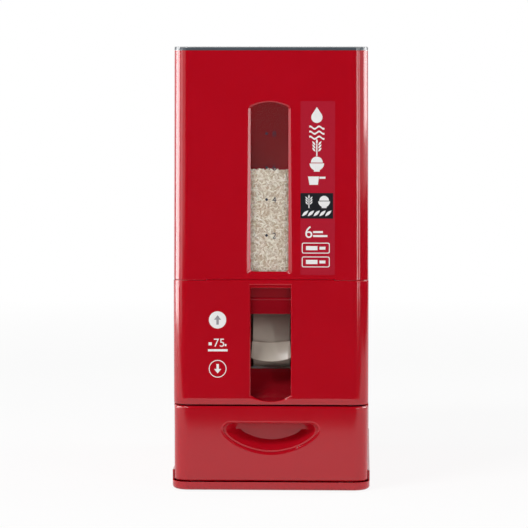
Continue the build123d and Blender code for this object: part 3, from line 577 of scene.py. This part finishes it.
def top_grains():
    """Grains on top of the heap, seen through the smoke lid; larger and fewer than real ones."""
    patch = patch_of(steps(-RICE_HALF + TOP_MARGIN, RICE_HALF - TOP_MARGIN, TOP_STEP),
                     steps(RICE_FRONT + TOP_MARGIN, RICE_BACK - TOP_MARGIN, TOP_STEP),
                     lambda x, y: (x, y, rice_height(x, y) + TOP_LIFT))
    shape = grain(length=5.4, width=2.4, sides=5, rings=3)
    strewn_grains("rice_top_grains", patch, shape, spacing_mm=2.9, tip=0.3, seed=8)


# ---- outlines, as (x, z) points in millimetres --------------------------
def arc(centre, radius, start, end, count):
    """Points along an arc, angles in degrees anticlockwise from the right."""
    angles = [math.radians(start + (end - start) * i / count) for i in range(count + 1)]
    return [(centre[0] + radius * math.cos(a), centre[1] + radius * math.sin(a)) for a in angles]


def disc(centre, radius, count=48):
    """Round outline."""
    return arc(centre, radius, 0, 360, count)[:-1]


def box(left, low, right, high, corner=0.0):
    """Rectangle outline, its corners round if a radius is given."""
    if corner == 0:
        return [(left, low), (right, low), (right, high), (left, high)]
    middles = [(right - corner, high - corner, 0), (left + corner, high - corner, 90),
               (left + corner, low + corner, 180), (right - corner, low + corner, 270)]
    return [p for x, z, start in middles for p in arc((x, z), corner, start, start + 90, 6)]


def scaled(x, z, size, points):
    """Outline of unit size put at its middle and size."""
    return [(x + u * size, z + v * size) for u, v in points]


def leaf(x, z, size, lean):
    """Pointed leaf or grain, leaning by an angle in degrees."""
    half = [(0.17 * size * math.sin(math.pi * t), size * (t - 0.5)) for t in steps(0, 1, 0.125)]
    outline = half + [(-u, v) for u, v in reversed(half[1:-1])]
    turn = math.radians(lean)
    return [(x + u * math.cos(turn) + v * math.sin(turn), z - u * math.sin(turn) + v * math.cos(turn))
            for u, v in outline]


def drop(x, z, size):
    """Water drop."""
    return [arc((x, z - 0.12 * size), 0.34 * size, -218, 38, 20) + [(x, z + 0.5 * size)]]


def ear(x, z, size):
    """Ear of rice: a stalk with three pairs of grains and one on top."""
    stalk = box(x - 0.035 * size, z - 0.5 * size, x + 0.035 * size, z + 0.2 * size)
    shapes = [stalk, leaf(x, z + 0.34 * size, 0.32 * size, 0)]
    for rise in (-0.12, 0.06, 0.24):
        for side in (-1, 1):
            shapes.append(leaf(x + side * 0.17 * size, z + rise * size, 0.30 * size, side * 38))
    return shapes


def bowl(x, z, size):
    """Heaped bowl on a foot."""
    dish = arc((x, z), 0.44 * size, 180, 360, 20)
    heap = arc((x, z + 0.05 * size), 0.36 * size, 0, 180, 18)
    foot = box(x - 0.18 * size, z - 0.5 * size, x + 0.18 * size, z - 0.40 * size)
    return [dish, heap, foot]


def scoop(x, z, size):
    """Measuring scoop seen from the side."""
    cup = scaled(x, z, size, [(-0.42, 0.12), (-0.34, -0.32), (0.10, -0.32), (0.16, 0.12)])
    handle = box(x + 0.18 * size, z, x + 0.5 * size, z + 0.11 * size)
    return [cup, handle]


def wave(x, z, size):
    """Three ripples for rinsing."""
    shapes = []
    for rise in (-0.28, 0.0, 0.28):
        crest = [(u, rise + 0.07 * math.sin(4 * math.pi * u)) for u in steps(-0.42, 0.42, 0.06)]
        trough = [(u, v - 0.10) for u, v in reversed(crest)]
        shapes.append(scaled(x, z, size, crest + trough))
    return shapes


def arrow(x, z, size, way):
    """Broad arrow that points up for 1 and down for -1."""
    outline = [(-0.13, -0.5), (0.13, -0.5), (0.13, 0.02), (0.38, 0.02), (0.0, 0.5), (-0.38, 0.02),
               (-0.13, 0.02)]
    return scaled(x, z, size, [(u, way * v) for u, v in outline])


def pill(low):
    """Outlined pill with two blank bars in it: a band, then the bars."""
    high = low + PILL_HEIGHT
    outer = box(PILL_LEFT, low, PILL_RIGHT, high, PILL_CORNER)
    inner = box(PILL_LEFT + PILL_LINE, low + PILL_LINE, PILL_RIGHT - PILL_LINE, high - PILL_LINE,
                PILL_INNER_CORNER)
    long_bar = box(35.5, low + 3.3, 47.0, low + 7.4)
    short_bar = box(49.0, low + 3.9, 55.0, low + 6.8)
    return [(outer, inner), long_bar, short_bar]


# ---- prints -------------------------------------------------------------
def ring_of(sheet, loop, skin, shift):
    """An outline's points on a front skin, shifted back by some millimetres."""
    return [sheet.verts.new((x, skin_depth(skin, z) + shift, z)) for x, z in loop]


def walls(sheet, one, other):
    """Faces between two rings of points of the same count."""
    for i in range(len(one)):
        j = (i + 1) % len(one)
        sheet.faces.new((one[i], one[j], other[j], other[i]))


def printed(name, shapes, material, body, skin, proud):
    """Thin ink or film on a front skin: filled outlines, or (outer, inner) pairs for bands."""
    sheet = bmesh.new()
    for shape in shapes:
        loops = shape if isinstance(shape, tuple) else (shape,)
        front = [ring_of(sheet, loop, skin, -proud) for loop in loops]
        back = [ring_of(sheet, loop, skin, INK_ROOT) for loop in loops]
        for ahead, behind in zip(front, back):
            walls(sheet, ahead, behind)
        for side in (front, back):
            if len(side) == 1:
                sheet.faces.new(side[0])
            else:
                walls(sheet, side[0], side[1])
    mesh = drawn_mesh(name, sheet, smooth=False)
    mesh.materials.append(material)
    placed(name, mesh, body)


def numeral(name, text, material, body, height, left, middle, depth):
    """A printed number, drawn from its left edge and middle height."""
    curve = bpy.data.curves.new(name, "FONT")
    curve.body = text
    curve.size = height / DIGIT_SHARE
    curve.extrude = DIGIT_HALF
    curve.resolution_u = 4
    mesh = made_plain(new_object(name + "_curve", curve), name, material)
    place = (left * MM, (depth - DIGIT_HALF) * MM, (middle - height / 2) * MM)
    upright = Matrix.Rotation(math.pi / 2, 4, "X")
    mesh.transform(Matrix.Translation(place) @ Matrix.Scale(MM, 4) @ upright)
    placed(name, mesh, body)


def window_scale():
    """Kilogram marks printed on the pane: a dot and a number each."""
    dots = [disc((SCALE_DOT_X, mark[1]), SCALE_DOT_RADIUS, 20) for mark in SCALE_MARKS]
    printed("scale_dots", dots, SCALE_INK, "tank", PANE_SKIN, FIRST_LAYER)
    for text, z in SCALE_MARKS:
        numeral("scale_number_" + text, text, SCALE_INK, "tank", height=SCALE_NUMBER_HEIGHT,
                left=SCALE_NUMBER_X, middle=z, depth=PANE_FACE)


def label_signs():
    """Column of picture signs on the film, from the top down."""
    signs = drop(SIGN_MIDDLE, 379.2, 16.5)
    signs += wave(SIGN_MIDDLE, 362.8, 18.0)
    signs += ear(SIGN_MIDDLE, 347.1, 17.5)
    signs += bowl(SIGN_MIDDLE, 331.2, 16.5)
    signs += scoop(SIGN_MIDDLE - 0.8, 315.8, 19.0)
    printed("label_signs", signs, WHITE_INK, "tank", TANK_SKIN, SECOND_LAYER)


def label_panel():
    """Dark panel with two signs and a row of grains."""
    panel = box(LABEL_LEFT, PANEL_LOW, PANEL_RIGHT, PANEL_HIGH)
    printed("label_panel", [panel], BLACK_INK, "tank", TANK_SKIN, SECOND_LAYER)
    signs = ear(38.4, PANEL_MIDDLE, 13.5) + bowl(53.6, PANEL_MIDDLE, 13.5)
    signs += [leaf(x, 281.2, 8.6, 48) for x in steps(34.6, 57.8, 5.8)]
    printed("panel_signs", signs, WHITE_INK, "tank", TANK_SKIN, THIRD_LAYER)


def tank_label():
    """Clear film on the tank with picture signs, a dark panel, a number and two outlined pills."""
    film = box(LABEL_LEFT, LABEL_LOW, LABEL_RIGHT, LABEL_HIGH, LABEL_CORNER)
    printed("label_film", [film], FILM, "tank", TANK_SKIN, FIRST_LAYER)
    label_signs()
    label_panel()
    number_depth = skin_depth(TANK_SKIN, LABEL_NUMBER_Z) - LABEL_NUMBER_LIFT
    numeral("label_number", "6", WHITE_INK, "tank", height=12.4, left=34.0, middle=LABEL_NUMBER_Z,
            depth=number_depth)
    marks = [box(42.6, 257.4, 57.0, 259.4), box(42.6, 261.4, 52.4, 263.4)]
    for low in (240.9, 227.0):
        marks += pill(low)
    printed("label_marks", marks, WHITE_INK, "tank", TANK_SKIN, SECOND_LAYER)


def lever_signs():
    """Beside the lever: a disc with an up arrow, the portion in grams, and a ring with a down arrow."""
    whole = disc((MARK_X, UPPER_MARK), radius=8.7)
    upward = arrow(MARK_X, UPPER_MARK, MARK_ARROW, way=1)
    printed("measure_disc", [whole], WHITE_INK, "housing", BODY_SKIN, FIRST_LAYER)
    printed("measure_arrow", [upward], DISC_INK, "housing", BODY_SKIN, DISC_LAYER)
    numeral("portion_number", "75", WHITE_INK, "housing", height=8.6, left=-57.6, middle=151.0,
            depth=BODY_FRONT - PORTION_NUMBER_LIFT)
    marks = [box(-62.4, 148.0, -59.2, 151.0), box(-46.2, 147.2, -44.4, 149.4)]
    marks.append(box(-63.0, 141.9, -43.2, 144.1))
    marks.append((disc((MARK_X, LOWER_MARK), radius=8.9), disc((MARK_X, LOWER_MARK), radius=8.1)))
    marks.append(arrow(MARK_X, LOWER_MARK, MARK_ARROW, way=-1))
    printed("lever_marks", marks, WHITE_INK, "housing", BODY_SKIN, FIRST_LAYER)


# ---- floor, light and camera -------------------------------------------
def seen_directly(tree):
    """1 for what the eye sees, straight, reflected or through glass, and 0 for light on things."""
    path = add(tree, "ShaderNodeLightPath")
    straight = add(tree, "ShaderNodeMath", {
        0: path.outputs["Is Camera Ray"], 1: path.outputs["Is Glossy Ray"]}, operation="MAXIMUM")
    through = add(tree, "ShaderNodeMath", {
        0: straight.outputs[0], 1: path.outputs["Is Transmission Ray"]}, operation="MAXIMUM")
    return through.outputs[0]


def studio_card(name, corners, material):
    """Flat four-cornered piece of the studio."""
    mesh = bpy.data.meshes.new(name)
    mesh.from_pydata(corners, [], [(0, 1, 2, 3)])
    mesh.materials.append(material)
    return new_object(name, mesh)


def studio_paper():
    """White paper, lifted to pure white to the eye but for the shadow near the object."""
    material, tree, shader = new_material("studio_paper", Roughness=0.9, Specular_IOR_Level=0.0)
    dress(tree, shader, pattern(tree, 6), "#F4F4F3", "#F8F8F7")
    white = add(tree, "ShaderNodeEmission", {"Color": (1, 1, 1, 1), "Strength": 1.0})
    place = add(tree, "ShaderNodeTexCoord")
    away = add(tree, "ShaderNodeVectorMath", {"Vector": place.outputs["Object"]}, operation="LENGTH")
    glow = add(tree, "ShaderNodeMapRange", {
        "Value": away.outputs["Value"], "From Min": SHADOW_REACH, "From Max": 2 * SHADOW_REACH,
        "To Min": PAPER_GLOW, "To Max": 1.0})
    share = add(tree, "ShaderNodeMath", {0: seen_directly(tree), 1: glow.outputs["Result"]},
                operation="MULTIPLY")
    blend = add(tree, "ShaderNodeMixShader", {
        0: share.outputs[0], 1: shader.outputs["BSDF"], 2: white.outputs["Emission"]})
    tree.links.new(blend.outputs["Shader"], tree.nodes["Material Output"].inputs["Surface"])
    return material


def floor():
    """Plain floor, as white as the space behind it, so that no edge shows from any side."""
    half = FLOOR_HALF
    corners = [(-half, -half, 0), (half, -half, 0), (half, half, 0), (-half, half, 0)]
    plane = studio_card("studio_floor", corners, studio_paper())


def world():
    """Even surroundings, white to the eye and in reflections, a soft grey fill for the rest."""
    space = bpy.data.worlds.new("studio")
    bpy.context.scene.world = space
    space.use_nodes = True
    tree = space.node_tree
    ground = tree.nodes["Background"]
    ground.inputs["Color"].default_value = (1, 1, 1, 1)
    level = add(tree, "ShaderNodeMapRange", {
        "Value": seen_directly(tree), "To Min": WORLD_FILL, "To Max": 1.0})
    tree.links.new(level.outputs["Result"], ground.inputs["Strength"])


def softbox(name, place, target, width, height, power, sheen_only):
    """Area lamp aimed at a point; a sheen lamp shows only in reflections."""
    lamp = bpy.data.lights.new(name, "AREA")
    lamp.shape = "RECTANGLE"
    lamp.size = width
    lamp.size_y = height
    lamp.energy = power
    holder = new_object(name, lamp)
    holder.location = place
    holder.rotation_euler = (Vector(target) - Vector(place)).to_track_quat("-Z", "Y").to_euler()
    holder.visible_diffuse = not sheen_only


def black_felt(name):
    """Black felt: matt, with no reflection of its own."""
    material, tree, shader = new_material(name, Roughness=1.0, Specular_IOR_Level=0.0)
    dress(tree, shader, pattern(tree, 5, 2.0), "#050505", "#0A0A0A")
    return material


def flag(name, corners):
    """Black card out of the camera's sight that keeps a side of the shiny shell dark."""
    card = studio_card(name, corners, black_felt(name + "_felt"))
    card.visible_camera = False
    card.visible_diffuse = False
    card.visible_shadow = False
    card.visible_transmission = False


def camera():
    """Long lens level with the lid, a little to the right, tipped down to the middle of the bin."""
    turn = math.radians(CAMERA_TURN)
    front = Vector((0, BODY_LOW.y, CAMERA_HEIGHT))
    place = front + Vector((math.sin(turn), -math.cos(turn), 0)) * CAMERA_DISTANCE
    aim = Vector((-AIM_LEFT, BODY_LOW.y, AIM_HEIGHT))
    lens = bpy.data.cameras.new("camera")
    lens.sensor_width = SENSOR
    lens.lens = SENSOR * CAMERA_DISTANCE / PIXEL_SIZE / IMAGE_PIXELS
    lens.clip_end = CAMERA_REACH
    holder = new_object("camera", lens)
    holder.location = place
    holder.rotation_euler = (aim - place).to_track_quat("-Z", "Y").to_euler()
    bpy.context.scene.camera = holder


finish_nodes()
rice_bed()
window_grains()
top_grains()
window_scale()
tank_label()
lever_signs()
floor()
world()
for lamp in LAMPS:
    softbox(*lamp)
for card in FLAGS:
    flag(*card)
camera()

bpy.context.scene.view_settings.view_transform = "Standard"
